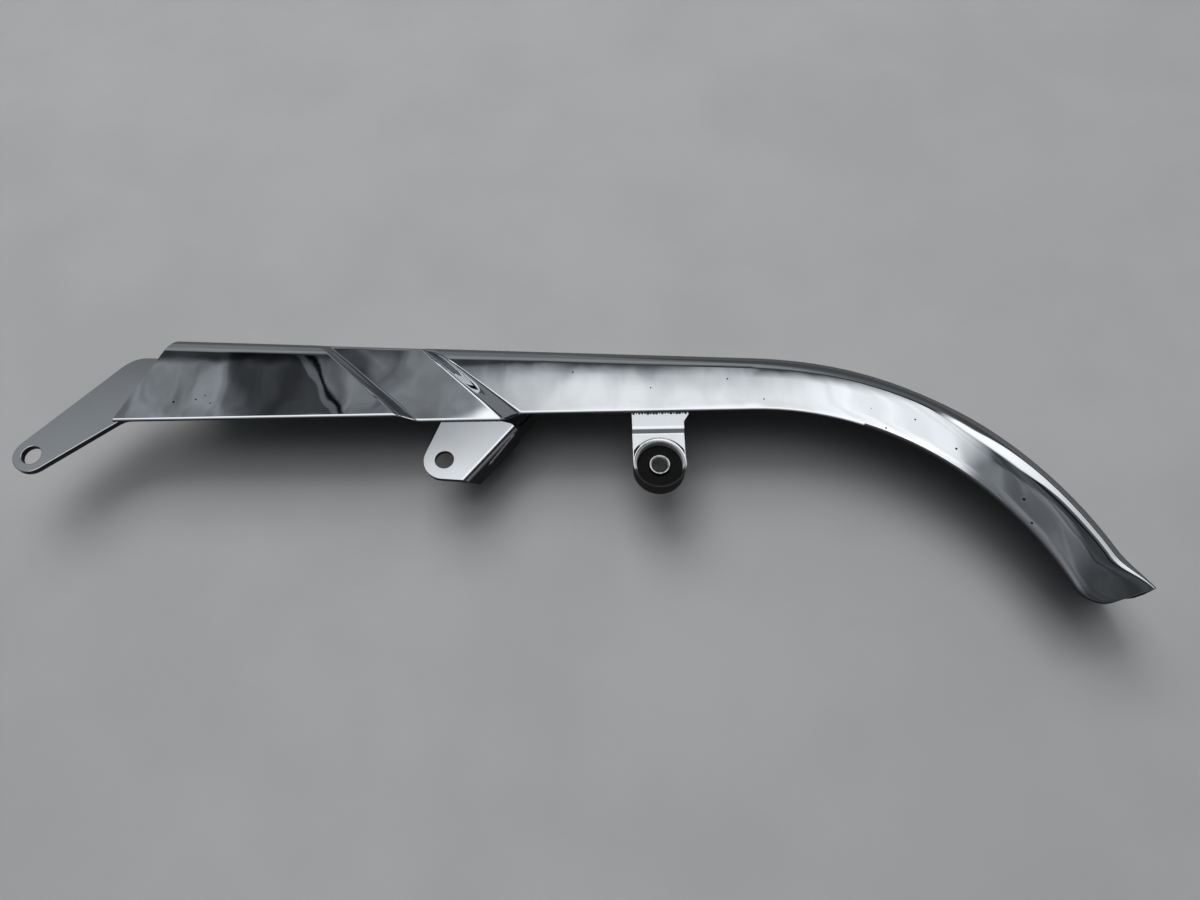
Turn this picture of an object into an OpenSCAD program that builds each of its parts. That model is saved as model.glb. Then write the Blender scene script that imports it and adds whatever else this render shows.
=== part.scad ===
// Upper belt guard for a motorcycle, lying with its outer face up.
// Origin: on the axis of the front bolt hole, halfway through the arm plate.
// +X runs along the straight lower edge to the tail, +Y to the top flange, +Z out of the face.

/* [Shell sheet] */
// Thickness of the stamped sheet
sheet_t = 1.5; // [1.3:0.1:2.2]
// Height of the outer face above the rim of the top flange
shell_h = 40; // [34:1:50]
// Outer radius of the shoulder between the face and the flange
shoulder_r = 10; // [7:0.5:12]
// Radius that breaks the free lower edge of the face
edge_r = 1.1; // [0.5:0.1:1.2]

/* [Straight run] */
// Distance of the lower edge from the front bolt hole, across the guard
low_y = 15.9; // [14:0.1:20]
// Distance of the lower front corner from the front bolt hole, along the guard
front_x = 33.4; // [28:0.1:38]
// Angle of the diagonal front cut to the lower edge
front_cut_a = 65; // [55:1:75]
// Distance of the start of the tail's curve from the front bolt hole
curve_x = 327; // [315:1:360]
// Angle at which the flange closes on the lower edge, from front to tail
taper_a = 3.1; // [2:0.1:3.5]

/* [Recessed panel] */
// Depth of the recessed middle panel below the outer face
recess_d = 6; // [4:0.5:7]
// Outer shoulder radius of the recessed panel
recess_shoulder_r = 2.2; // [1.8:0.1:4]
// Place of the first diagonal step on the lower edge
step1_x = 162; // [150:1:165]
// Place of the second diagonal step on the lower edge
step2_x = 210; // [205:1:216]
// Length of each step along the lower edge
step_run = 11.5; // [9:0.5:14]
// Length of the first step along the flange
step1_top_run = 7.2; // [5:0.2:9]
// Length of the second step along the flange
step2_top_run = 4; // [3:0.2:7]
// Angle of both steps to the lower edge
step_a = 44.5; // [40:0.5:50]

/* [Tail] */
// Radius of the lower edge round the sprocket
tail_r = 136; // [125:1:145]
// Angle that the tail sweeps
tail_sweep = 73.3; // [60:0.1:76]
// Width of the tail between its two edges
tail_w = 30.8; // [26:0.2:36]
// Length along which the taper fades into the even width of the tail
taper_fade = 24; // [10:1:40]
// Outer radius of the shoulder along the lower half of the tail
tail_shoulder_r = 16.5; // [10:0.5:18]
// Place along the tail where the shoulder starts to widen
swell_start = 68; // [50:1:90]
// Length along which it widens
swell_len = 28; // [20:1:50]
// Radius of the rounded corner at the end of the face
tail_corner_r = 12; // [8:0.5:16]
// Length of the rounded end of the flange
flange_corner = 16; // [10:1:22]
// Outward flare of the spout at the tip
spout_flare = 3; // [1:0.5:5]
// Length of the spout
spout_len = 17; // [12:1:24]
// Shoulder radius at the tip of the spout
spout_r = 4; // [3:0.5:6]

/* [Front arm] */
// Thickness of the arm plate
arm_t = 3.2; // [2.5:0.1:4]
// Diameter of the bolt holes in the arm and the middle bracket
hole_d = 8.8; // [6.6:0.1:9.5]
// Radius of the arm's round end
arm_tip_r = 8.3; // [7.5:0.1:10]
// Angle of the arm's lower edge to the lower edge of the guard
arm_low_a = 36.4; // [34:0.2:38]
// Angle of the arm's upper edge
arm_high_a = 46.1; // [43:0.2:48]
// Distance of the arm's top edge below the flange
arm_top_gap = 13.1; // [12.5:0.1:16]
// Radius of the arm's shoulder
arm_peak_r = 15; // [8:1:18]
// Length of the arm that lies under the front panel
arm_lap = 50; // [30:1:60]

/* [Middle bracket] */
// Thickness of the bracket plate
mid_t = 2.6; // [2:0.1:3.2]
// Distance of the middle bolt hole from the front one, along the guard
mid_hole_x = 184.9; // [180:0.1:190]
// Distance of the middle bolt hole below the lower edge
mid_drop = 19.3; // [16:0.1:22]
// Radius of the bracket's rounded corner, round the hole
mid_corner_r = 9.4; // [8:0.1:11]
// Angle of the bracket's left edge
mid_left_a = 68.4; // [60:0.2:76]
// Angle by which the bracket's bottom edge falls to the right
mid_bottom_a = 5; // [2:0.5:8]
// Distance of the bend from the middle hole
mid_bend_off = 12.5; // [11:0.1:15]
// Angle of the bend to the lower edge of the guard
mid_bend_a = 50; // [46:0.5:54]
// Outer radius of the bend
mid_bend_r = 2.9; // [2.7:0.1:4]
// Depth of the bent flange below the top of the plate
mid_flange_d = 15; // [12:0.5:19]
// Angle at which the lower end of the flange slants away from the plate
mid_end_a = 18; // [5:1:30]
// Length of the stiffening rib that the flange runs out into
mid_rib_len = 30; // [15:1:36]
// Distance of the rib inside the lower edge
mid_rib_in = 8; // [6:0.5:11]

/* [Rear bracket] */
// Thickness of the tab
tab_t = 2.4; // [1.8:0.1:3]
// Distance of the sleeve's axis from the front bolt hole, along the guard
eye_x = 282.7; // [278:0.1:290]
// Distance of the sleeve's axis below the lower edge
eye_drop = 25.3; // [22:0.1:30]
// Outer diameter of the round eye, and width of the tab
eye_d = 23.7; // [22:0.1:26]
// Wall of the eye
eye_wall = 1.5; // [1:0.1:2]
// Height of the eye
eye_h = 8.5; // [7:0.1:9]
// Drop of the joggle in the tab
joggle_d = 2; // [1:0.1:3]
// Distance of the joggle below the lower edge
joggle_drop = 8; // [6:0.1:9]
// Length of the tab that lies under the shell
tab_lap = 13; // [8:0.5:16]
// Reach of the flared root beside the tab
tab_flare = 2.4; // [1:0.1:3]

/* [Bushing] */
// Outer diameter of the steel sleeve
sleeve_d = 9.3; // [8.8:0.1:11]
// Bore of the steel sleeve
sleeve_bore = 6.6; // [5.2:0.1:7]
// Length of the steel sleeve
sleeve_len = 6.4; // [5.5:0.1:9]
// Depth of the sleeve's top end below the rim of the eye
sleeve_sink = 2; // [0.5:0.1:3]
// Depth of the rubber's top below the rim of the eye
rubber_sink = 3.8; // [3.5:0.1:4.5]
// Thickness of the rubber bush
rubber_t = 3.9; // [3:0.1:4.4]

/* [Hidden] */

chrome = [0.78, 0.80, 0.84];
rubber = [0.07, 0.07, 0.08];
steel = [0.60, 0.61, 0.63];

// Levels: the sheet's underside lies on the arm, whose mid plane is z = 0
under_z = arm_t / 2;
face_z = under_z + sheet_t;
rim_z = face_z - shell_h;
mid_top_z = under_z - recess_d;

// Flange line: the width of the guard falls with x until the curve
taper = tan(taper_a);
start_w = tail_w + taper * taper_fade / 2;
function width_at(x) = start_w + taper * (curve_x - x);
function top_y(x) = low_y + width_at(x);
// x on the flange line of a slanted line that starts on the lower edge at x and leans by angle a
function slant_top(x, a) = (x * tan(a) + width_at(0)) / (tan(a) + taper);

front_top_x = slant_top(front_x, front_cut_a);
step1_top_x = slant_top(step1_x, 180 - step_a);
step2_top_x = slant_top(step2_x, 180 - step_a);

// Middle hole and eye
mid_hole = [mid_hole_x, low_y - mid_drop];
eye = [eye_x, low_y - eye_drop];

// Resolution of curves and of the stamped shell
$fn = 72;
through = 60;
shoulder_steps = 10;
step_steps = 10;
face_steps = 4;
panel_steps = 3;
tail_steps = 28;
end_steps = 12;
arc_a = 7.5;
// Share of the widening of the tail's shoulder that its flange gives, by moving outwards
swell_reach = 0.55;

function mix(a, b, t) = a + (b - a) * t;
function smooth(t) = t * t * (3 - 2 * t);
function clamp01(t) = min(max(t, 0), 1);
function dir(a) = [cos(a), sin(a)];
function unit(v) = v / norm(v);
// Height gained by a quarter round of size r at the share t of its length
function quarter_round(r, t) = r * (1 - sqrt(1 - t * t));
// Point where the line from p along angle a meets the line from q along angle b
function meet(p, a, q, b) =
    p + dir(a) * ((q - p).x * sin(b) - (q - p).y * cos(b)) / sin(b - a);

// Outline with its corners rounded: each corner is [x, y, radius]
function rounded(corners) = [
    for (i = [0 : len(corners) - 1])
        let (
            n = len(corners),
            p = [corners[i].x, corners[i].y],
            r = corners[i].z,
            before = corners[(i + n - 1) % n],
            after = corners[(i + 1) % n],
            u = unit([before.x, before.y] - p),
            v = unit([after.x, after.y] - p),
            half = acos(u * v) / 2,
            centre = p + unit(u + v) * r / sin(half),
            from_p = p + u * r / tan(half) - centre,
            to_p = p + v * r / tan(half) - centre,
            a0 = atan2(from_p.y, from_p.x),
            turn = (atan2(to_p.y, to_p.x) - a0 + 540) % 360 - 180,
            steps = r > 0 ? ceil(abs(turn) / arc_a) : 0
        )
        for (k = [0 : steps])
            steps > 0 ? centre + r * dir(a0 + turn * k / steps) : p
];

// Stations of the shell: [lower edge point, flange point, width across, recess, shoulder radius,
// inset of the face's edge, height of the flange's rim]
function straight_station(x_low, x_top, share) = [
    [x_low, low_y],
    [x_top, top_y(x_top)],
    width_at(x_low) * cos(taper_a),
    recess_d * share,
    mix(shoulder_r, recess_shoulder_r, share),
    0,
    rim_z
];

// Stations between two slanted lines of the straight run
function panel(x_a, top_a, x_b, top_b, share, steps) = [
    for (i = [0 : steps - 1])
        straight_station(mix(x_a, x_b, i / steps), mix(top_a, top_b, i / steps), share)
];

// Stations down or up a diagonal step
function step_down(x_a, top_a, top_run, falls) = [
    for (i = [0 : step_steps - 1])
        let (t = i / step_steps)
        straight_station(x_a + step_run * t, top_a + top_run * t, falls ? smooth(t) : 1 - smooth(t))
];

// Stations round the tail, by the length along the lower edge
tail_len = tail_r * tail_sweep * PI / 180;
tail_centre = [curve_x, low_y - tail_r];
function tail_width(s) = tail_w + taper * taper_fade / 2 * pow(1 - clamp01(s / taper_fade), 2);
function tail_station(s) =
    let (
        a = 90 - s / tail_r * 180 / PI,
        swell = smooth(clamp01((s - swell_start) / swell_len)),
        spout = clamp01((s - tail_len + spout_len) / spout_len),
        corner = clamp01((s - tail_len + tail_corner_r) / tail_corner_r),
        lift = clamp01((s - tail_len + flange_corner) / flange_corner),
        bulge = swell_reach * (tail_shoulder_r - shoulder_r) * swell * (1 - smooth(spout)),
        w = tail_width(s) + bulge + spout_flare * spout * spout,
        r = mix(mix(shoulder_r, tail_shoulder_r, swell), spout_r, smooth(spout))
    )
    [
        tail_centre + tail_r * dir(a),
        tail_centre + (tail_r + w) * dir(a),
        w,
        0,
        r,
        quarter_round(tail_corner_r, corner),
        rim_z + quarter_round(shell_h - shoulder_r - sheet_t, lift)
    ];

stations = [
    each panel(front_x, front_top_x, step1_x, step1_top_x, 0, panel_steps),
    each step_down(step1_x, step1_top_x, step1_top_run, true),
    each panel(step1_x + step_run, step1_top_x + step1_top_run, step2_x, step2_top_x, 1, panel_steps),
    each step_down(step2_x, step2_top_x, step2_top_run, false),
    each panel(step2_x + step_run, step2_top_x + step2_top_run, curve_x, curve_x, 0, panel_steps),
    for (i = [0 : tail_steps - 1]) tail_station((tail_len - spout_len) * i / tail_steps),
    for (i = [0 : end_steps]) tail_station(tail_len - spout_len * pow(1 - i / end_steps, 1.5))
];

// Cross-section of the sheet at a station: [distance from the flange's outer side, height]
function section(st) =
    let (
        top = face_z - st[3],
        r = st[4],
        edge = st[2] - st[5],
        inner_r = r - sheet_t
    )
    [
        for (k = [0 : 3])
            [edge - edge_r * (1 - cos(30 * k)), top - edge_r * (1 - sin(30 * k))],
        for (k = [1 : face_steps])
            [mix(edge - edge_r, r, k / face_steps), top],
        for (k = [1 : shoulder_steps])
            let (a = 90 * k / shoulder_steps)
            [r * (1 - sin(a)), top - r * (1 - cos(a))],
        [0, st[6]],
        [sheet_t, st[6]],
        for (k = [shoulder_steps : -1 : 0])
            let (a = 90 * k / shoulder_steps)
            [sheet_t + inner_r * (1 - sin(a)), top - sheet_t - inner_r * (1 - cos(a))],
        for (k = [1 : face_steps])
            [mix(r, edge, k / face_steps), top - sheet_t]
    ];

// Triangles that close an end of the sheet, between the outer and the inner side of its section
function end_cap(m) =
    let (last = m - 1, edge_steps = 3, pairs = (m - 1 - edge_steps) / 2)
    [
        for (k = [0 : edge_steps - 1]) [k, k + 1, last],
        for (k = [edge_steps : edge_steps + pairs - 1])
            let (inner = last + edge_steps - k)
            each [[k, k + 1, inner - 1], [k, inner - 1, inner]]
    ];

// The same cross-section stood up on its slanted or radial line
function placed(st) = [
    for (q = section(st))
        let (p = mix(st[1], st[0], q.x / st[2]))
        [p.x, p.y, q.y]
];

// One stamped sheet: face with two diagonal steps, shoulder, top flange and curved, spouted tail
module guard_shell() {
    rings = [for (st = stations) placed(st)];
    n = len(rings);
    m = len(rings[0]);
    skin = [
        for (i = [0 : n - 2], j = [0 : m - 1])
            let (a = i * m + j, b = i * m + (j + 1) % m)
            each [[a, b, b + m], [a, b + m, a + m]]
    ];
    front_end = [for (f = end_cap(m)) [f.z, f.y, f.x]];
    tail_end = [for (f = end_cap(m)) f + (n - 1) * m * [1, 1, 1]];
    color(chrome)
        polyhedron([for (ring = rings) each ring], concat(skin, front_end, tail_end), 4);
}

// Tapered plate arm, lapped under the front panel
module front_arm() {
    low_touch = arm_tip_r * dir(arm_low_a - 90);
    high_touch = arm_tip_r * dir(arm_high_a + 90);
    lap_y = low_y + sheet_t;
    end_x = front_x + arm_lap;
    top_line = [0, top_y(0) - arm_top_gap];
    point = meet(low_touch, arm_low_a, high_touch, arm_high_a);
    under = meet(low_touch, arm_low_a, [0, lap_y], 0);
    peak = meet(high_touch, arm_high_a, top_line, -taper_a);
    end_corner = meet([end_x, 0], 90, top_line, -taper_a);
    color(chrome)
        translate([0, 0, -arm_t / 2])
            difference() {
                linear_extrude(arm_t)
                    polygon(rounded([
                        [point.x, point.y, arm_tip_r],
                        [under.x, under.y, arm_tip_r],
                        [end_x, lap_y, edge_r],
                        [end_corner.x, end_corner.y, arm_tip_r],
                        [peak.x, peak.y, arm_peak_r]
                    ]));
                translate([0, 0, -through / 2]) cylinder(d = hole_d, h = through);
            }
}

// Cross-section of the plate and its bent edge: the bend starts at zero and the flange hangs down
module bend_section() {
    inner_r = mid_bend_r - mid_t;
    polygon(rounded([
        [-through, 0, 0],
        [mid_bend_r, 0, mid_bend_r],
        [mid_bend_r, -mid_flange_d, 0],
        [inner_r, -mid_flange_d, 0],
        [inner_r, -mid_t, inner_r],
        [-through, -mid_t, 0]
    ]));
}

// Plate bracket under the recessed panel: bolt hole, side flange bent down on a slant, and the
// thinner rib that the flange runs out into behind the lower edge
module mid_bracket() {
    left_touch = mid_hole + mid_corner_r * dir(mid_left_a + 90);
    low_touch = mid_hole + mid_corner_r * dir(-90 - mid_bottom_a);
    round_corner = meet(left_touch, mid_left_a, low_touch, -mid_bottom_a);
    bend_point = mid_hole + mid_bend_off * dir(mid_bend_a - 90);
    bottom_corner = meet(low_touch, -mid_bottom_a, bend_point, mid_bend_a);
    notch = meet(bend_point, mid_bend_a, [0, low_y - mid_bend_r / 2], 0) - [mid_t / 2, 0];
    lap_y = low_y + mid_corner_r;
    lap_left = meet(left_touch, mid_left_a, [0, lap_y], 0);
    lap_right = [lap_left.x + mid_corner_r, lap_y];
    step_foot = [step2_x - mid_t, low_y + sheet_t / 2];
    beyond_notch = notch + through * dir(mid_bend_a - 90);
    beyond_corner = bottom_corner + through * dir(-mid_bottom_a);
    rib_t = mid_t / 2;
    rib_y = low_y + mid_rib_in;
    rib_line = mid_hole + (mid_bend_off + mid_bend_r - rib_t / 2) * dir(mid_bend_a - 90);
    rib_back_line = rib_line + rib_t * dir(mid_bend_a + 90);
    rib_turn = meet(rib_line, mid_bend_a, [0, rib_y], 0);
    rib_turn_in = meet(rib_back_line, mid_bend_a, [0, rib_y + rib_t], 0);
    rib_start = meet(rib_line, mid_bend_a, notch, mid_bend_a + 90) - mid_t * dir(mid_bend_a);
    rib_back = rib_start + rib_t * dir(mid_bend_a + 90);
    rib_end = rib_turn.x + mid_rib_len;
    color(chrome)
        translate([0, 0, mid_top_z])
            difference() {
                union() {
                    intersection() {
                        translate([bottom_corner.x, bottom_corner.y, 0])
                            rotate(mid_bend_a - 90)
                                translate([0, through, 0])
                                    rotate([90, 0, 0])
                                        linear_extrude(2 * through) bend_section();
                        translate([0, 0, -through / 2]) linear_extrude(through)
                            polygon(rounded([
                                [round_corner.x, round_corner.y, mid_corner_r],
                                [lap_left.x, lap_left.y, 0],
                                [lap_right.x, lap_right.y, 0],
                                [step_foot.x, step_foot.y, 0],
                                [notch.x, notch.y, 0],
                                [beyond_notch.x, beyond_notch.y, 0],
                                [beyond_corner.x, beyond_corner.y, 0]
                            ]));
                    }
                    translate([0, 0, rib_t - mid_flange_d])
                        linear_extrude(mid_flange_d - mid_bend_r - 2 * rib_t)
                            polygon(rounded([
                                [rib_start.x, rib_start.y, 0],
                                [rib_turn.x, rib_turn.y, mid_rib_in],
                                [rib_end, rib_y, 0],
                                [rib_end, rib_y + rib_t, 0],
                                [rib_turn_in.x, rib_turn_in.y, mid_rib_in - rib_t],
                                [rib_back.x, rib_back.y, 0]
                            ]));
                }
                translate([mid_hole.x, mid_hole.y, -through / 2]) cylinder(d = hole_d, h = through);
                translate([bottom_corner.x, bottom_corner.y, 0])
                    rotate(mid_bend_a - 90)
                        translate([mid_bend_r / 2, 0, 0])
                            rotate([90, 0, 90])
                                linear_extrude(through)
                                    polygon([
                                        [-through, 0],
                                        [0, 0],
                                        [through * tan(mid_end_a), -through],
                                        [-through, -through]
                                    ]);
                translate([rib_turn.x + mid_rib_in, rib_y + through / 2, -mid_flange_d])
                    rotate([90, 0, 0])
                        linear_extrude(through)
                            polygon([
                                [0, 0],
                                [mid_rib_len, mid_flange_d / 2],
                                [mid_rib_len, -mid_t],
                                [0, -mid_t]
                            ]);
            }
}

// Tab under the rear run: lapped root, joggle, and the round eye of the bushing in its fillet
module rear_bracket() {
    joggle_y = low_y - joggle_drop;
    root_y = low_y + tab_lap;
    half = eye_d / 2;
    lip = eye_wall / 4;
    color(chrome)
        translate([0, 0, under_z])
            difference() {
                union() {
                    intersection() {
                        translate([eye.x - through / 2, 0, 0])
                            rotate([90, 0, 90])
                                linear_extrude(through)
                                    polygon(rounded([
                                        [root_y, 0, 0],
                                        [joggle_y, 0, tab_t],
                                        [joggle_y - joggle_d, -joggle_d, tab_t / 3],
                                        [eye.y - half, -joggle_d, 0],
                                        [eye.y - half, -joggle_d - tab_t, 0],
                                        [joggle_y - joggle_d + tab_t / 3, -joggle_d - tab_t, tab_t],
                                        [joggle_y + tab_t / 3, -tab_t, tab_t / 3],
                                        [root_y, -tab_t, 0]
                                    ]));
                        translate([0, 0, -through / 2]) linear_extrude(through) {
                            translate(eye) circle(half);
                            polygon(rounded([
                                [eye.x - half, eye.y, 0],
                                [eye.x - half, root_y, tab_t],
                                [eye.x + half + tab_flare, root_y, tab_t],
                                [eye.x + half + tab_flare, low_y - tab_flare / 2, 0],
                                [eye.x + half, low_y - 2 * tab_flare, tab_flare],
                                [eye.x + half, eye.y, 0]
                            ]));
                        }
                    }
                    translate([eye.x, eye.y, -eye_h]) cylinder(d = eye_d, h = eye_h);
                    intersection() {
                        translate([eye.x, eye.y, -joggle_d - lip])
                            cylinder(h = joggle_d, r1 = half + joggle_d, r2 = half - lip);
                        translate([eye.x - half + lip, eye.y, -through / 2])
                            cube([eye_d - 2 * lip, eye_d, through]);
                    }
                }
                translate([eye.x, eye.y, -through / 2])
                    cylinder(d = eye_d - 2 * eye_wall, h = through);
            }
}

// Rubber bush bonded in the eye, with a rounded lip round the sleeve
module grommet() {
    inner = sleeve_d / 2;
    outer = eye_d / 2 - eye_wall;
    lip = (outer - inner) / 8;
    color(rubber)
        translate([eye.x, eye.y, under_z - rubber_sink - rubber_t])
            rotate_extrude()
                polygon(rounded([
                    [inner, 0, 0],
                    [outer, 0, lip],
                    [outer, rubber_t, lip],
                    [inner, rubber_t, lip]
                ]));
}

// Steel sleeve with the bore for the mounting bolt
module sleeve() {
    inner = sleeve_bore / 2;
    outer = sleeve_d / 2;
    break_r = (outer - inner) / 2;
    color(steel)
        translate([eye.x, eye.y, under_z - sleeve_sink - sleeve_len])
            rotate_extrude()
                polygon([
                    [inner, 0],
                    [outer, 0],
                    [outer, sleeve_len],
                    [inner + break_r, sleeve_len],
                    [inner, sleeve_len - break_r]
                ]);
}

guard_shell();
front_arm();
mid_bracket();
rear_bracket();
grommet();
sleeve();
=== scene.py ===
# %% [markdown]
# # A chromed belt guard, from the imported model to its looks
#
# The real object is a pressed sheet-steel guard for a motorcycle's drive belt. It lies with its
# polished face up on a pale table. Three plate brackets are welded under it, and one of them holds
# a rubber bush with a steel sleeve. The CAD model brings every piece at its true size and place.
# This lesson gives each piece the soft edges, the chrome, the waves and the pits of the real one,
# and then writes a room around it, because a mirror shows nothing but its room.

import math

import bpy
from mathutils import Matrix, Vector


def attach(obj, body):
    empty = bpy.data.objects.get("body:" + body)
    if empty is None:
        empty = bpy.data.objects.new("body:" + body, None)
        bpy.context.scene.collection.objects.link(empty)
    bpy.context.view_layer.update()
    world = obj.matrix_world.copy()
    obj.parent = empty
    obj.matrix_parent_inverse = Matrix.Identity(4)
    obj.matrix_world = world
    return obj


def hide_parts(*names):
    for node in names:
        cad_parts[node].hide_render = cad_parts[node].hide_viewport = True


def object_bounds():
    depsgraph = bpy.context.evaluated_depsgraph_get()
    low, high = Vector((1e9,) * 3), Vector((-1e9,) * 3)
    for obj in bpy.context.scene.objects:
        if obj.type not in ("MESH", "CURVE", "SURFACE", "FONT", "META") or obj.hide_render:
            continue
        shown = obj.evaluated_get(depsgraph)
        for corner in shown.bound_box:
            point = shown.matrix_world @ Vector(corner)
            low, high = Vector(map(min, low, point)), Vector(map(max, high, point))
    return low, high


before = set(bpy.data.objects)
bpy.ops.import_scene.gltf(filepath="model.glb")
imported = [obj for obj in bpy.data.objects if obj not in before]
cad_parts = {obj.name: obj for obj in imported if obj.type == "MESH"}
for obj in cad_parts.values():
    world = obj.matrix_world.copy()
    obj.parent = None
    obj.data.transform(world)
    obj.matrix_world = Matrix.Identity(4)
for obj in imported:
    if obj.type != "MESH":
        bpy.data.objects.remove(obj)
cad_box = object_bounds()
MM = 0.001
scene = bpy.context.scene
print("CAD box in mm:", [[round(c / MM, 1) for c in corner] for corner in cad_box])

# %% [markdown]
# The camera comes first, because every later comparison depends on it. Its place was worked out
# from edges whose real size the CAD fixes: it stands 37 cm above the face, on the side of the
# brackets, and looks down at 25 degrees from the vertical through a wide lens.

# %% Camera at the photograph's angle
CAMERA_PLACE = (0.25245, -0.1742, 0.3694)
CAMERA_TILT, CAMERA_TURN = math.radians(25), math.radians(-1.15)

camera_data = bpy.data.cameras.new("photo_camera")
camera_data.sensor_width = 36
camera_data.lens = 27
camera_data.clip_start = 0.01
camera = bpy.data.objects.new("photo_camera", camera_data)
camera.location = CAMERA_PLACE
camera.rotation_euler = (CAMERA_TILT, 0, CAMERA_TURN)
scene.collection.objects.link(camera)
scene.camera = camera
print("Camera at", tuple(camera.location))

# %% [markdown]
# Shader maths reads best as plain formulas. `Wire` wraps one socket of a material, so that `1 -
# mask * 2` adds the Math nodes by itself. Every other node comes from `node`, which sets the
# node's own settings first and then the values or links of its sockets.


# %% Shader maths as Python expressions
def plug(socket, value):
    """Links a wire to a node's socket, or types the value in."""
    if isinstance(value, Wire):
        socket.id_data.links.new(value.socket, socket)
    else:
        socket.default_value = value


def node(tree, kind, settings=None, sockets=None, out=0):
    """Adds one shader node and returns one of its outputs as a wire."""
    made = tree.nodes.new("ShaderNode" + kind)
    for name, value in (settings or {}).items():
        setattr(made, name, value)
    for name, value in (sockets or {}).items():
        plug(made.inputs[name], value)
    return Wire(made.outputs[out])


class Wire:
    """A socket that Python's operators work on: each operator adds a Math node."""

    def __init__(self, socket):
        self.socket = socket

    def math(self, operation, other=0.0):
        return node(self.socket.id_data, "Math", {"operation": operation}, {0: self, 1: other})

    def __add__(self, other):
        return self.math("ADD", other)

    def __mul__(self, other):
        return self.math("MULTIPLY", other)

    def __sub__(self, other):
        return self.math("SUBTRACT", other)

    def __truediv__(self, other):
        return self.math("DIVIDE", other)

    def __rsub__(self, other):
        return self * -1 + other

    __radd__ = __add__
    __rmul__ = __mul__

    def ramp(self, low, high, to_low=0.0, to_high=1.0):
        """Smoothly from to_low below low to to_high above high."""
        ends = {"From Min": low, "From Max": high, "To Min": to_low, "To Max": to_high}
        settings = {"interpolation_type": "SMOOTHSTEP"}
        return node(self.socket.id_data, "MapRange", settings, {"Value": self, **ends})


def mix_colours(tree, share, first, second):
    """Blends two colours through a Mix node set to colour."""
    made = tree.nodes.new("ShaderNodeMix")
    made.data_type = "RGBA"
    plug(made.inputs["Factor"], share)
    plug(made.inputs[6], first)
    plug(made.inputs[7], second)
    return Wire(made.outputs[2])


def new_finish(name):
    """A material with only its Principled shader, and the tree, shader and place of a point."""
    material = bpy.data.materials.new(name)
    material.use_nodes = True
    tree = material.node_tree
    return material, tree, tree.nodes["Principled BSDF"], node(tree, "TexCoord", out=3)


def grey(level):
    return (level, level, level, 1)


print("Shader helpers ready")

# %% [markdown]
# A mirror finish shows every facet of its mesh. The loose CAD triangles are copied, their doubles
# are merged and flat neighbours are joined, a small bevel breaks the edges as deburring does, and
# the normals are weighted by face area so that flat sheet stays flat right up to its bends. Faces
# that no polishing wheel reached are marked `bare_and_shaded` on the mesh, and the finish reads
# that mark: it paints them dark, partly as dull bare steel and partly as painted shade, since these
# walls and undersides lie in shade.

# %% Copy a CAD piece as a smooth, deburred one
DOUBLES_WITHIN = 0.002 * MM
FLAT_WITHIN = math.radians(0.3)
SMOOTH_BELOW = math.radians(40)


def only(piece):
    """Selects one object alone and makes it active."""
    bpy.ops.object.select_all(action="DESELECT")
    piece.select_set(True)
    bpy.context.view_layer.objects.active = piece


def edit_all(piece, operator, **settings):
    """Runs one edit-mode operator on all of a piece."""
    only(piece)
    bpy.ops.object.mode_set(mode="EDIT")
    bpy.ops.mesh.select_all(action="SELECT")
    operator(**settings)
    bpy.ops.object.mode_set(mode="OBJECT")


def copy_of(node_name, name):
    """A merged copy of a CAD node's mesh, as a new object at the origin."""
    piece = bpy.data.objects.new(name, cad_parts[node_name].data.copy())
    piece.data.name = name
    piece.data.materials.clear()
    scene.collection.objects.link(piece)
    edit_all(piece, bpy.ops.mesh.remove_doubles, threshold=DOUBLES_WITHIN)
    return piece


def join_flat(piece):
    """Joins triangles that lie in one plane."""
    edit_all(piece, bpy.ops.mesh.dissolve_limited, angle_limit=FLAT_WITHIN)


def apply_all(piece):
    only(piece)
    for modifier in list(piece.modifiers):
        bpy.ops.object.modifier_apply(modifier=modifier.name)


def bevel(piece, width, segments, **limit):
    """Rounds the edges that the limit picks, by angle or by weight."""
    made = piece.modifiers.new("deburred edges", "BEVEL")
    made.width = width
    made.segments = segments
    made.use_clamp_overlap = True
    for name, value in limit.items():
        setattr(made, name, value)
    apply_all(piece)


def deburr(piece, width, angle=32, segments=3):
    """Rounds the edges that are sharper than the angle, and weights the normals."""
    bevel(piece, width, segments, limit_method="ANGLE", angle_limit=math.radians(angle))
    bpy.ops.object.shade_smooth_by_angle(angle=SMOOTH_BELOW)
    weigh = piece.modifiers.new("flat stays flat", "WEIGHTED_NORMAL")
    weigh.keep_sharp = True
    weigh.weight = 90
    apply_all(piece)


def mark_bare_and_shaded(piece, share_bare_and_shaded):
    """Stores on each face how bare and shaded it is, from 0 for polished chrome to 1 for a dull
    wall that the finish also paints dark as shade.
    """
    marks = piece.data.attributes.new("bare_and_shaded", "FLOAT", "FACE")
    for face in piece.data.polygons:
        marks.data[face.index].value = share_bare_and_shaded(face)
    print(piece.name, "has", sum(mark.value > 0.5 for mark in marks.data), "bare faces")


print("Mesh helpers ready")

# %% [markdown]
# The guard itself is one pressed sheet. Its copy is turned back into quads, and the cut edges of
# the sheet get a fine radius. Only the outer side was polished: the inside and the sheared lower
# wall are bare, and the finish also paints them dark as the shade that falls inside the sheet and
# under its edge. Which side a face looks to is told by its normal, against the way out from the
# tail's centre or, on the straight part, against the way up the picture. Past 22 degrees round the
# tail the sheared edge lost its bright radius, so there even the bevel's faces are marked, and the
# edge is painted dark.

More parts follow.
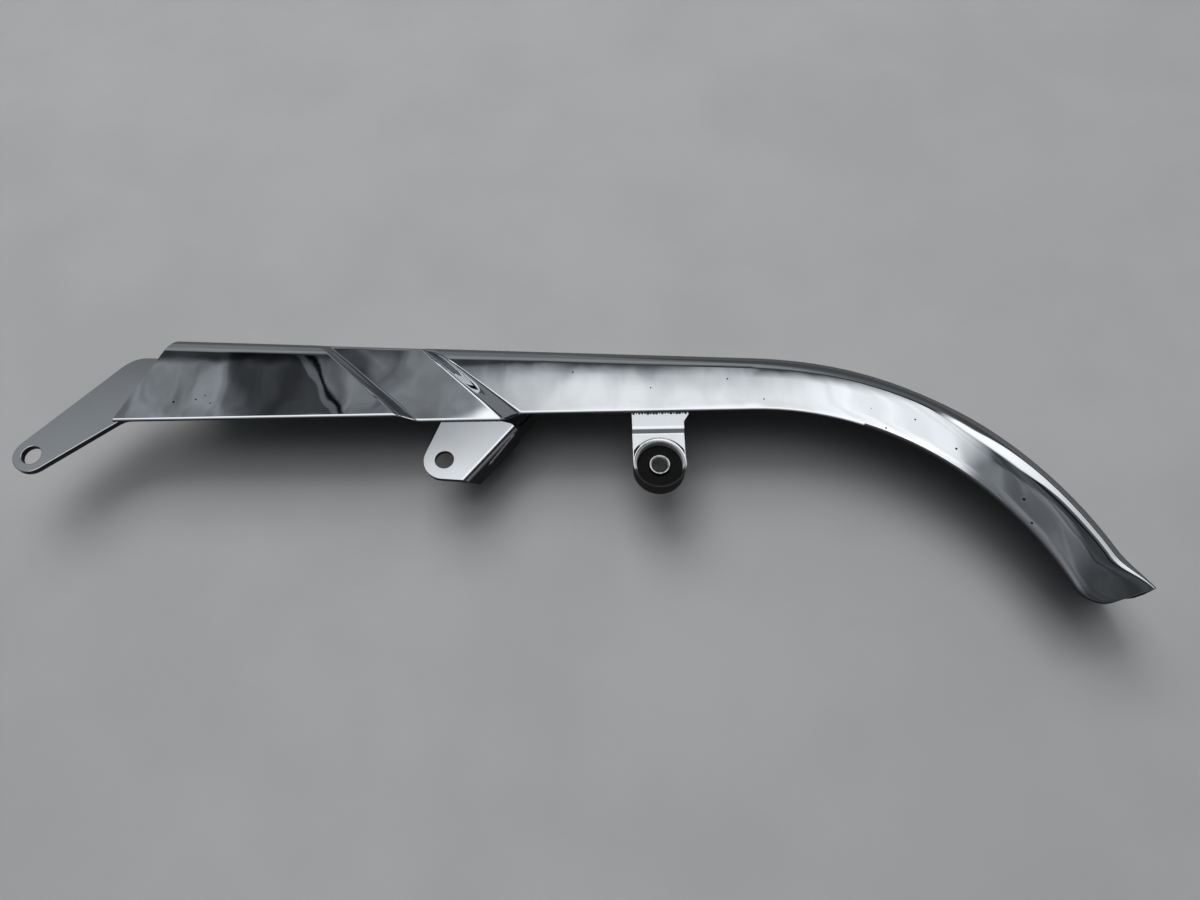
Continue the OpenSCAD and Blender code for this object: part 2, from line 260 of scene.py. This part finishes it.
# %% The pressed sheet
CURVE_X = 327 * MM
TAIL_CENTRE_Y = -120.1 * MM
BARE_AND_SHADED_EDGE_PAST = math.sin(math.radians(22))
INSIDE_BELOW = -0.2
WALL_FACES, BARE_AND_SHADED_EDGE_FACES = -0.8, -0.1
QUADS_WITHIN = {"face_threshold": math.radians(60), "shape_threshold": math.radians(180)}

shell = copy_of("guard_shell", "pressed_guard")
edit_all(shell, bpy.ops.mesh.tris_convert_to_quads, **QUADS_WITHIN)
deburr(shell, 0.35 * MM, angle=50, segments=2)


def sheet_bare_and_shaded(face):
    """The inside and the sheared wall of the sheet."""
    from_tail = (max(face.center.x - CURVE_X, 0), face.center.y - TAIL_CENTRE_Y, 0)
    outward = Vector(from_tail).normalized()
    inward_from = BARE_AND_SHADED_EDGE_FACES if outward.x > BARE_AND_SHADED_EDGE_PAST else WALL_FACES
    inside = face.normal.z < INSIDE_BELOW
    return 1.0 if inside or face.normal.dot(outward) < inward_from else 0.0


mark_bare_and_shaded(shell, sheet_bare_and_shaded)
print("Sheet finished:", len(shell.data.polygons), "faces")

# %% [markdown]
# The arm, the middle bracket and the rear tab are cut from thicker plate. Their outlines and holes
# come from the CAD; deburring rounds the cut edges, which catch thin lines of light in the
# picture. The sheared walls and undersides stay bare, and the finish paints them dark, partly as
# painted shade.

# %% The plate brackets
PLATE_WALL_BELOW = 0.3

arm = copy_of("front_arm", "front_arm_plate")
middle = copy_of("mid_bracket", "middle_bolt_bracket")
rear = copy_of("rear_bracket", "rear_bush_bracket")
for bracket in (arm, middle, rear):
    join_flat(bracket)


def plate_bare_and_shaded(face):
    """Sheared walls and the underside of a plate."""
    return 1.0 if face.normal.z < PLATE_WALL_BELOW else 0.0


print("Brackets copied:", arm.name, middle.name, rear.name)

# %% [markdown]
# The middle bracket's side flange ends in a slanted cut, a little higher than a square end would.
# A boolean with a prism makes it: the cut's outline is drawn in the upright plane along the bend,
# and the prism reaches through the flange from there.

# %% The slanted end of the middle bracket's flange
BEND_FOOT = Vector((196.2, -13.8, -7.35)) * MM
BEND_LINE = Vector((math.cos(math.radians(50)), math.sin(math.radians(50)), 0))
END_CUT = [Vector(point) * MM for point in ((0, 0), (7, -15), (7, -20), (-20, -20), (-20, 0))]
CUT_REACH = 6 * MM


def trim(piece, outline, corner, along, reach):
    """Cuts away a prism: the outline lies in the upright plane through the corner."""
    across = along.cross(Vector((0, 0, 1)))
    count = len(outline)
    drawn = [corner + along * s + Vector((0, 0, z)) for s, z in outline]
    points = [point + across * side for side in (-reach, reach) for point in drawn]
    sides = [(i, (i + 1) % count, (i + 1) % count + count, i + count) for i in range(count)]
    caps = [tuple(reversed(range(count))), tuple(range(count, 2 * count))]
    cutter_mesh = bpy.data.meshes.new("cutter")
    cutter_mesh.from_pydata(points, [], sides + caps)
    cutter = bpy.data.objects.new("cutter", cutter_mesh)
    scene.collection.objects.link(cutter)
    edit_all(cutter, bpy.ops.mesh.normals_make_consistent, inside=False)
    cut = piece.modifiers.new("slanted end", "BOOLEAN")
    cut.object = cutter
    cut.solver = "EXACT"
    apply_all(piece)
    bpy.data.objects.remove(cutter)
    print(piece.name, "trimmed to", len(piece.data.polygons), "faces")


trim(middle, END_CUT, BEND_FOOT, BEND_LINE, CUT_REACH)

# %% [markdown]
# The eye was drawn up out of its tab, so its mouth is rounder than any cut edge. Only the upper
# edge of the bore gets that radius: its edges are given full bevel weight, and a bevel limited by
# weight leaves the others alone. The bore's wall was chromed with the rest, so it isn't marked
# bare and shaded, and it isn't painted dark.

# %% The eye's rounded mouth
EYE = Vector((282.7, -9.4)) * MM
EYE_BORE_R = 10.35 * MM
LIP_ROUND = 1.4 * MM
CLOSE = 0.05 * MM


def weigh_lip(piece):
    """Gives full bevel weight to the upper edge of the eye's bore."""
    mesh = piece.data
    places = [vertex.co for vertex in mesh.vertices]
    top = max(place.z for place in places if (place.xy - EYE).length < EYE_BORE_R * 1.01)
    weights = mesh.attributes.new("bevel_weight_edge", "FLOAT", "EDGE")
    for edge in mesh.edges:
        ends = [mesh.vertices[index].co for index in edge.vertices]
        on_bore = all(abs((end.xy - EYE).length - EYE_BORE_R) < CLOSE for end in ends)
        on_top = all(abs(end.z - top) < CLOSE for end in ends)
        weights.data[edge.index].value = 1.0 if on_bore and on_top else 0.0
    print("Lip edges:", sum(weight.value > 0.5 for weight in weights.data))


def eye_bare_and_shaded(face):
    """As plate_bare_and_shaded, but the bore's wall is bright."""
    from_eye = (face.center.xy - EYE).length
    return 0.0 if from_eye < EYE_BORE_R + 0.1 * MM else plate_bare_and_shaded(face)


weigh_lip(rear)
bevel(rear, LIP_ROUND, 5, limit_method="WEIGHT")
deburr(arm, 0.7 * MM)
deburr(middle, 0.35 * MM)
deburr(rear, 0.2 * MM, angle=40)
mark_bare_and_shaded(arm, plate_bare_and_shaded)
mark_bare_and_shaded(middle, plate_bare_and_shaded)
mark_bare_and_shaded(rear, eye_bare_and_shaded)

# %% [markdown]
# The rear bracket's weld shows as a ragged dark seam along the sheet's lower edge. It is a row of
# small beads of uneven size, sunk into the edge and marked like every wall that was never polished,
# so they are painted dark: partly dull weld, partly painted shade of the gap under the edge. They
# are joined to the bracket, because on the real object they are one with it.

# %% The weld's beads along the edge
SEAM_START = Vector((253.0, 15.7, 2.2)) * MM
SEAM_END = Vector((297.0, 15.7, 2.2)) * MM
BEAD_R = 0.55 * MM
BEAD_COUNT = 34

beads = []
for index in range(BEAD_COUNT):
    spot = SEAM_START.lerp(SEAM_END, index / (BEAD_COUNT - 1))
    uneven = 1 + 0.3 * math.sin(index * 2.4) + 0.15 * math.sin(index * 0.7)
    bpy.ops.object.select_all(action="DESELECT")
    bpy.ops.mesh.primitive_ico_sphere_add(subdivisions=2, radius=BEAD_R * uneven, location=spot)
    beads.append(bpy.context.active_object)
for bead in beads:
    bead.select_set(True)
bpy.ops.object.join()
seam = bpy.context.active_object
seam.name = "weld_seam"
bpy.ops.object.transform_apply(location=True, rotation=True, scale=True)
bpy.ops.object.shade_smooth()
mark_bare_and_shaded(seam, lambda face: 1.0)
only(rear)
seam.select_set(True)
bpy.ops.object.join()
print(rear.name, "with its weld:", len(rear.data.polygons), "faces")

# %% [markdown]
# The bush is a ring of black rubber bonded into the eye, round a turned steel sleeve. Both come
# from the CAD as they are, and only their edges are softened.

# %% The rubber bush and its sleeve
bush = copy_of("grommet", "rubber_bush")
sleeve = copy_of("sleeve", "bush_sleeve")
for ring in (bush, sleeve):
    join_flat(ring)
    deburr(ring, 0.15 * MM)
    print(ring.name, len(ring.data.polygons), "faces")

# %% [markdown]
# Old chrome has pits where it broke through to the steel. The fine ones are drawn by a Voronoi
# pattern: some of its cells, picked by their random colour, hold a dot. The ones that can be told
# apart on the real guard are placed one by one, as x, y and radius in millimetres. All of it is on
# Object coordinates, so that it stays where it is from any side.

# %% Pits in the chrome
FACE_LEVEL = 3.1 * MM
LARGE_PITS = {
    "front": ((60, 25, 0.7), (70, 26, 0.45), (77, 24, 0.4), (74, 28, 0.35), (90, 23, 0.35)),
    "step": ((171, 49, 0.5), (177, 41, 0.6), (186, 33, 0.5), (162, 26, 0.3)),
    "rear": ((211, 42, 0.45), (244, 37, 0.4), (280, 28, 0.35), (316, 32, 0.4), (332, 21, 0.35)),
    "tail": ((386, 5, 0.4), (400, 9, 0.4), (416, -6, 0.5), (441, -31, 1.0), (442, -42, 0.7)),
}
FINE_PITS = {"scale": 210.0, "share": 0.05, "size": 0.09}


def fine_pits(tree, place, scale, share, size):
    """Small round pits, one in some of the cells of a Voronoi pattern."""
    cells = node(tree, "TexVoronoi", {}, {"Vector": place, "Scale": scale})
    chance = node(tree, "TexVoronoi", {}, {"Vector": place, "Scale": scale}, out=1)
    lot = node(tree, "SeparateColor", {}, {"Color": chance})
    return cells.ramp(size * 0.6, size, 1, 0) * lot.ramp(1 - share, 1 - share + 0.01)


def large_pits(tree, place):
    """The pits that can be told apart, at their places on the face."""
    total = 0.0
    for x, y, radius in (pit for group in LARGE_PITS.values() for pit in group):
        centre = (x * MM, y * MM, FACE_LEVEL)
        away = node(tree, "VectorMath", {"operation": "DISTANCE"}, {0: place, 1: centre}, out=1)
        total = away.ramp(radius * 0.8 * MM, radius * 1.3 * MM, 1, 0) + total
    return total


print("Large pits placed:", sum(len(group) for group in LARGE_PITS.values()))

# %% [markdown]
# Two brackets carry a mark of their own. The outside of the middle bracket's bend has a ragged
# scuff where it was knocked: a distance from a line, roughened by noise. The eye's inner wall has
# gone matt, and its near side is painted black as a painted dark reflection, with a soft ragged
# border across the mouth.

# %% Marks that only one bracket has
SCUFF_MIDDLE = (210.5 * MM, 3.2 * MM, -8.4 * MM)
SCUFF_LINE = (0.635, 0.754, 0.167)
EYE_DARK_REFLECTION_R = 13.4 * MM


def noise(tree, place, scale, detail=2.0, **more):
    return node(tree, "TexNoise", {}, {"Vector": place, "Scale": scale, "Detail": detail, **more})


def scuff(tree, place):
    """The ragged bright scuff along the outside of the middle bracket's bend."""
    away = node(tree, "VectorMath", {"operation": "SUBTRACT"}, {0: place, 1: SCUFF_MIDDLE})
    along = node(tree, "VectorMath", {"operation": "DOT_PRODUCT"}, {0: away, 1: SCUFF_LINE}, out=1)
    whole = node(tree, "VectorMath", {"operation": "LENGTH"}, {0: away}, out=1)
    across = (whole * whole - along * along).math("MAXIMUM", 0.0).math("SQRT")
    ragged = noise(tree, place, 900.0, 4.0) * (2.4 * MM) + across
    length = along.math("ABSOLUTE").ramp(8 * MM, 10 * MM, 1, 0)
    return ragged.ramp(2.0 * MM, 2.5 * MM, 1, 0) * length


def eye_matt_and_dark_reflection(tree, place):
    """How matt the eye's inner wall is, and where its near side is painted black as a dark
    reflection.
    """
    flat = node(tree, "VectorMath", {"operation": "MULTIPLY"}, {0: place, 1: (1, 1, 0)})
    centre = (*EYE, 0)
    from_eye = node(tree, "VectorMath", {"operation": "DISTANCE"}, {0: flat, 1: centre}, out=1)
    side = node(tree, "SeparateXYZ", {}, {"Vector": place}, out=1) - EYE.y
    ragged_side = side + noise(tree, place, 500.0, 3.0) * (3 * MM)
    # The side nearer the camera gets the painted dark reflection.
    near_side = ragged_side.ramp(-2.5 * MM, 0.5 * MM, 1, 0)
    matt = from_eye.ramp(EYE_BORE_R * 1.03, EYE_BORE_R * 1.1, 1, 0)
    return matt, from_eye.ramp(EYE_DARK_REFLECTION_R, EYE_DARK_REFLECTION_R * 1.04, 1, 0) * near_side


print("Scuff and smear ready")

# %% [markdown]
# Chrome itself is a metal with a little blue in its grey. Pressed sheet is never quite flat, so a
# slow noise swells it by less than a third of a millimetre, and the mirrored edges wander. Where a
# face is marked bare and shaded, the metal is rough and spotted with rust, and its dark colour is
# partly dull steel and partly painted shade. Near the eye's mouth the near side is painted black
# as a painted dark reflection.

# %% Chrome
CHROME = (0.60, 0.615, 0.635, 1)
# The pit colour is also the black of the painted dark reflection at the eye, and the dull colour is
# partly painted shade on walls and undersides.
PIT_AND_REFLECTION_BLACK = (0.006, 0.005, 0.004, 1)
DULL_AND_SHADED = (0.045, 0.045, 0.048, 1)
RUST = (0.10, 0.045, 0.018, 1)
MATT = grey(0.85)
SWELL_SCALE = (26, 20, 20)
SWELL_HEIGHT, GRAIN_HEIGHT, BARE_GRAIN_HEIGHT = 0.32 * MM, 0.0005 * MM, 0.05 * MM


def bump(tree, height):
    """A Bump node whose height is in metres."""
    return node(tree, "Bump", {}, {"Height": height, "Distance": 1.0})


def chrome(name, wave, rough, marked=False, drawn_eye=False, scuffed=False):
    """Mirror chrome: wave is the unevenness of the sheet, rough its clean roughness."""
    material, tree, shader, place = new_finish(name)
    matt = scuff(tree, place) if scuffed else 0.0
    bare_and_shaded = node(tree, "Attribute", {"attribute_name": "bare_and_shaded"}, out=2) * (1 - matt)
    black = 0.0
    if drawn_eye:
        matt, black = eye_matt_and_dark_reflection(tree, place)
    patchy = noise(tree, place, 60.0, 3.0).ramp(0.42, 0.66)
    pitted = fine_pits(tree, place, **FINE_PITS) * patchy
    if marked:
        pitted = (pitted + large_pits(tree, place)).math("MINIMUM", 1.0)

    stretched = node(tree, "Mapping", {}, {"Vector": place, "Scale": SWELL_SCALE})
    swell = noise(tree, stretched, 1.0, 2.0, Roughness=0.4)
    grain = noise(tree, place, 900.0, 3.0)
    height = swell * (wave * SWELL_HEIGHT) + grain * GRAIN_HEIGHT - bare_and_shaded * grain * BARE_GRAIN_HEIGHT
    plug(shader.inputs["Normal"], bump(tree, height))

    rusty = noise(tree, place, 240.0, 4.0).ramp(0.62, 0.75)
    plated = mix_colours(tree, matt, mix_colours(tree, pitted, CHROME, PIT_AND_REFLECTION_BLACK), MATT)
    # Faces marked bare and shaded are painted dark here: partly dull rusty steel, partly painted
    # shade.
    worn_and_shaded = mix_colours(tree, bare_and_shaded, plated, mix_colours(tree, rusty, DULL_AND_SHADED, RUST))
    roughness = grain * 0.02 + pitted * 0.5 + bare_and_shaded * 0.35 + matt * 0.35 + rough
    # Here the eye's near side is painted black, a painted dark reflection.
    plug(shader.inputs["Base Color"], mix_colours(tree, black, worn_and_shaded, PIT_AND_REFLECTION_BLACK))
    plug(shader.inputs["Metallic"], 1 - bare_and_shaded * 0.6 - pitted - matt * 0.8 - black)
    plug(shader.inputs["Roughness"], roughness)
    print(name, "made of", len(tree.nodes), "nodes")
    return material


sheet_chrome = chrome("sheet_chrome", wave=1.0, rough=0.012, marked=True)
plate_chrome = chrome("plate_chrome", wave=0.6, rough=0.17)
scuffed_chrome = chrome("scuffed_chrome", wave=0.6, rough=0.15, scuffed=True)
eye_chrome = chrome("eye_chrome", wave=0.6, rough=0.15, drawn_eye=True)

# %% [markdown]
# The bush is old black rubber. It is almost without shine, so its specular level is low, and fine
# dust and grain keep it from looking like a hole in the picture.

# %% Rubber
RUBBER_GRAIN_HEIGHT = 0.03 * MM

rubber, tree, shader, place = new_finish("bush_rubber")
dusty = noise(tree, place, 500.0, 4.0).ramp(0.5, 0.8)
plug(shader.inputs["Base Color"], mix_colours(tree, dusty, grey(0.004), grey(0.012)))
plug(shader.inputs["Roughness"], 0.6 + noise(tree, place, 700.0) * 0.25)
shader.inputs["Specular IOR Level"].default_value = 0.2
plug(shader.inputs["Normal"], bump(tree, noise(tree, place, 1200.0) * RUBBER_GRAIN_HEIGHT))
print("Rubber made of", len(tree.nodes), "nodes")

# %% [markdown]
# The sleeve is plain turned steel, never plated. It is a rougher mirror than the chrome, stained
# brown in places where water stood in its bore.

# %% Sleeve steel
STEEL, STAIN = grey(0.5), (0.22, 0.19, 0.17, 1)

turned, tree, shader, place = new_finish("sleeve_steel")
stained = noise(tree, place, 300.0, 4.0).ramp(0.45, 0.7)
plug(shader.inputs["Base Color"], mix_colours(tree, stained, STEEL, STAIN))
shader.inputs["Metallic"].default_value = 1.0
plug(shader.inputs["Roughness"], 0.28 + stained * 0.2)
print("Sleeve steel made of", len(tree.nodes), "nodes")

# %% [markdown]
# Each finished piece stands for one CAD node, which is hidden, and gets its material. Nothing on
# this guard moves against anything else, so all the pieces ride on the root body.

# %% Put each finish on its piece, and each piece on the frame
FINISHED = (
    (shell, "guard_shell", "chrome", sheet_chrome),
    (arm, "front_arm", "chrome", plate_chrome),
    (middle, "mid_bracket", "chrome", scuffed_chrome),
    (rear, "rear_bracket", "chrome", eye_chrome),
    (bush, "grommet", "rubber", rubber),
    (sleeve, "sleeve", "sleeve_steel", turned),
)
for piece, node_name, slot, material in FINISHED:
    piece.data.materials.append(material)
    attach(piece, "root")
    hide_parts(node_name)
    print(piece.name, "stands for", node_name)

# %% [markdown]
# The table is a plain pale floor at the rim that the guard stands on, faintly mottled. The chrome
# shows it darker than the eye sees it, as in the photograph, where the table near the guard is in
# its shade. So mirrored rays meet a dimmed table, which Light Path tells apart.

# %% Floor
FLOOR_SIZE = 6
FLOOR_MIDDLE_X = 0.25
PALE, PALER, BLACK = grey(0.49), grey(0.525), grey(0.0)
MIRRORED_DIMMING = 0.71

rim_z = cad_box[0].z
bpy.ops.object.select_all(action="DESELECT")
bpy.ops.mesh.primitive_plane_add(size=FLOOR_SIZE, location=(FLOOR_MIDDLE_X, 0, rim_z))
floor = bpy.context.active_object
floor.name = "pale_floor"
bpy.ops.object.transform_apply(location=True, rotation=False, scale=False)
table, tree, shader, place = new_finish("pale_table")
mottled = noise(tree, place, 14.0, 5.0).ramp(0.3, 0.7)
table_colour = mix_colours(tree, mottled, PALE, PALER)
dimmed = node(tree, "LightPath", out=3) * MIRRORED_DIMMING
plug(shader.inputs["Base Color"], mix_colours(tree, dimmed, table_colour, BLACK))
shader.inputs["Roughness"].default_value = 0.6
floor.data.materials.append(table)
print("Floor at", round(rim_z / MM, 2), "mm")

# %% [markdown]
# A mirror shows its room. The world is that room, written for the way each face looks: `aside` and
# `ahead` say how far a direction leans to the right and away from the camera, for each metre up.
# The flat face mirrors only a small patch of the ceiling, the rounded shoulder sweeps over all the
# rest, so the room is drawn with soft edges at the leans where the photograph changes its tone.
# Two numbers of an edge are the leans where it begins and ends, and two more are the tones on its
# sides.

# %% The ways that a mirror can look
SLANT_ASIDE, SLANT_AHEAD = 0.77, 0.64
LEAST = 0.01

world = bpy.data.worlds.new("studio")
scene.world = world
world.use_nodes = True
tree = world.node_tree
background = tree.nodes["Background"]
way = node(tree, "TexCoord", out=0)
right, back, up = (node(tree, "SeparateXYZ", {}, {"Vector": way}, out=axis) for axis in range(3))
high = up.math("MAXIMUM", LEAST)
aside, ahead = right / high, back / high
sideways = right / back.math("MAXIMUM", LEAST)
slant = aside * SLANT_ASIDE - ahead * SLANT_AHEAD
seen, mirrored = (node(tree, "LightPath", out=ray) for ray in (0, 3))
print("Leans ready")

# %% [markdown]
# The bright ceiling lies over the guard in two fields. The near one stands over the camera and
# ends just before the lean that the flat face mirrors; the far one reaches across the face and
# gives it its fade from white at the lower edge to grey at the shoulder. To the right it ends in
# the dark, which the tail shows, and fine louvres ripple it there. For the light on the table the
# ceiling ends overhead, so that the guard's shadow falls to the front.

# %% The ceiling
CEILING_LEFT = (-0.68, -0.56)
NEAR_FIELD_LEFT = (-0.62, -0.3)
NEAR_FIELD_BACK_FROM = (0.2, 0.425)
NEAR_FIELD_BACK_TO = 0.485
FAR_FIELD_LEFT = (-0.24, 0.03)
FAR_FIELD_BACK = (0.535, 0.63, 1, 0)
MIRRORED_FRONT = (-1.1, -0.7)
LIGHTING_FRONT = (-0.5, 0.0)
DARK_FROM_SLANT = (0.02, 0.10)
DARK_FROM_ASIDE = (0.2, 0.42)
LOUVRES_FROM = (0.24, 0.32)
LOUVRES_ASIDE, LOUVRES_AHEAD, LOUVRE_DEPTH = 150, 40, 0.07
BRIGHTER_RIGHT = (0.2, 0.36, 1.0, 1.22)
NEAR_FIELD_EXTRA = 0.35

near_field_from = aside.ramp(*NEAR_FIELD_LEFT, *NEAR_FIELD_BACK_FROM)
near_field = ahead.ramp(near_field_from, NEAR_FIELD_BACK_TO, 1, 0)
far_field = aside.ramp(*FAR_FIELD_LEFT) * ahead.ramp(*FAR_FIELD_BACK)
front_end = ahead.ramp(*MIRRORED_FRONT) * mirrored + ahead.ramp(*LIGHTING_FRONT) * (1 - mirrored)
dark_right = slant.ramp(*DARK_FROM_SLANT) * aside.ramp(*DARK_FROM_ASIDE)
ripple = (aside * LOUVRES_ASIDE + ahead * LOUVRES_AHEAD).math("SINE")
louvres = ripple * aside.ramp(*LOUVRES_FROM) * LOUVRE_DEPTH + 1
ceiling = near_field + far_field * (1 - near_field)
ceiling = ceiling * front_end * louvres * (1 - dark_right) * aside.ramp(*CEILING_LEFT)
ceiling = ceiling * (aside.ramp(*BRIGHTER_RIGHT) + near_field * NEAR_FIELD_EXTRA)
print("Ceiling written")

# %% [markdown]
# Left of the ceiling stands a wall that the front panel mirrors: grey and cloudy, then nearly
# dark, then a thin bright strip and a black slit, like the jamb of a door. Right of the jamb the
# low part of the room is an even dark grey, which the recessed panel and the tail's end show.

# %% The left wall, the jamb and the low room
CLOUD_ACROSS, CLOUD_ALONG = 30, 7
CLOUD = (0.3, 0.7, 0.6, 1.3)
WALL_LEAN = 0.2
WALL_END = (-0.36, -0.325, 0.31, 0.055)
WALL_TOP = (0.61, 0.64, 1.0, 0.45)
WALL_FOOT = (0.0, 0.35, 0.2, 1.0)
JAMB_LEAN, JAMB_OFFSET = 0.48, 0.254
GLINT_EDGES = (-0.331, -0.328, -0.318, -0.3155)
GLINT_LEVEL = 0.12
SLIT_EDGES = (-0.3165, -0.3145, -0.3095, -0.3075)
SLIT_DEPTH = 0.95
LOW_ROOM_LEFT = (-0.309, -0.303, 0.0, 0.19)
LOW_ROOM_END = (0.21, 0.26, 1, 0.1)
SHADE_LEFT, SHADE_FRONT, SHADE_DEPTH = (0.3, 0.45), (0.425, 0.445), 0.75


def strip(lean, edges):
    """A band between four leans: it fades in between the first two and out between the last."""
    return lean.ramp(edges[0], edges[1]) * lean.ramp(edges[2], edges[3], 1, 0)


banded = node(tree, "CombineXYZ", {}, {"X": aside * CLOUD_ACROSS, "Y": ahead * CLOUD_ALONG})
cloud = noise(tree, banded, 1.0, 3.0).ramp(*CLOUD)
left_wall = (aside + ahead * WALL_LEAN).ramp(*WALL_END)
left_wall = left_wall * ahead.ramp(*WALL_TOP) * ahead.ramp(*WALL_FOOT) * cloud
jamb = aside + ahead * JAMB_LEAN - JAMB_OFFSET
slit = strip(jamb, SLIT_EDGES)
shade = aside.ramp(*SHADE_LEFT) * ahead.ramp(*SHADE_FRONT) * SHADE_DEPTH
low_room = jamb.ramp(*LOW_ROOM_LEFT) * slant.ramp(*LOW_ROOM_END) * cloud * (1 - shade)
low_room = low_room + strip(jamb, GLINT_EDGES) * GLINT_LEVEL
print("Left wall, jamb and low room written")

# %% [markdown]
# Behind the ceiling comes a dark gap, which draws the thin dark line under the shoulder, and then
# the back wall, which the shoulder itself shows. At the back on the right stands a tall window. It
# gives the tail's shoulder its long bright streak, so its foot and top are given for each way
# sideways. A dim wall in front of the guard keeps the chrome from going black when it is seen from
# behind.

# %% The gap, the back wall, the window and the front wall
GAP = (0.60, 0.635, 1.0, 0.3)
BACK_WALL_TOP = (0.68, 0.9, 0.0, 0.3)
BACK_WALL_FOOT = (1.2, 2.2, 1.0, 0.55)
BACK_WALL_RIGHT = (0.3, 0.6, 1, 0.45)
WINDOW_SIDE = (0.83, 0.9)
WINDOW_FOOT = (1.2, 1.45, 0.6, 1.1)
WINDOW_TOP = (0.85, 1.3, 1.3, 7.0)
WINDOW_LEVELS = (1.0, 1.7, 1.5, 0.72)
ABOVE_FOOT, BELOW_TOP = (-0.05, 0.09), (0.75, 1.1, 1.0, 0.0)
FRONT_WALL_LEVEL = 0.2

gap = ahead.ramp(*GAP)
back_wall = ahead.ramp(*BACK_WALL_TOP) * ahead.ramp(*BACK_WALL_FOOT) * aside.ramp(*BACK_WALL_RIGHT)
above_foot = (ahead - sideways.ramp(*WINDOW_FOOT)).ramp(*ABOVE_FOOT)
below_top = (ahead / sideways.ramp(*WINDOW_TOP)).ramp(*BELOW_TOP)
window = above_foot * below_top * sideways.ramp(*WINDOW_SIDE) * sideways.ramp(*WINDOW_LEVELS)
front_wall = ahead.ramp(*MIRRORED_FRONT, FRONT_WALL_LEVEL, 0.0) * mirrored
print("Back wall, window and front wall written")

# %% [markdown]
# The parts of the room add up to its light, bluish where it is dim and nearly white where it is
# bright. Only mirrors and the light on the table see that room. The camera sees a plain backdrop
# of the table's tone past the end of the floor.

# %% Add up the room
DARKEST = 0.005
BACKDROP = 0.36
DIM_TINT, BRIGHT_TINT = (0.87, 0.93, 1.0, 1), (0.96, 0.98, 1.0, 1)

light = (left_wall + low_room + DARKEST) * gap * (1 - slit * SLIT_DEPTH)
light = light + ceiling + back_wall + window + front_wall
light = light * (1 - seen) + seen * BACKDROP
plug(background.inputs["Color"], mix_colours(tree, light.ramp(0.0, 1.0), DIM_TINT, BRIGHT_TINT))
plug(background.inputs["Strength"], light)
print("Room written in", len(tree.nodes), "nodes")

# %% [markdown]
# The lamp stands overhead and a little behind. Its light falls on the table only from above, so
# the guard's shadow lies under it and comes out to the front. It is a wide area lamp, because the
# real shadow has soft edges, and the mirrors don't show it.

# %% Lamp
LAMP_PLACE = Vector((-0.05, 0.95, 1.45))
LAMP_AIM = Vector((0.25, 0, 0))

lamp_data = bpy.data.lights.new("overhead_lamp", "AREA")
lamp_data.size = 1.1
lamp_data.energy = 13
lamp = bpy.data.objects.new("overhead_lamp", lamp_data)
lamp.location = LAMP_PLACE
lamp.rotation_euler = (LAMP_PLACE - LAMP_AIM).to_track_quat("Z", "Y").to_euler()
lamp.visible_glossy = False
scene.collection.objects.link(lamp)
scene.view_settings.view_transform = "Standard"
print("Lamp set")
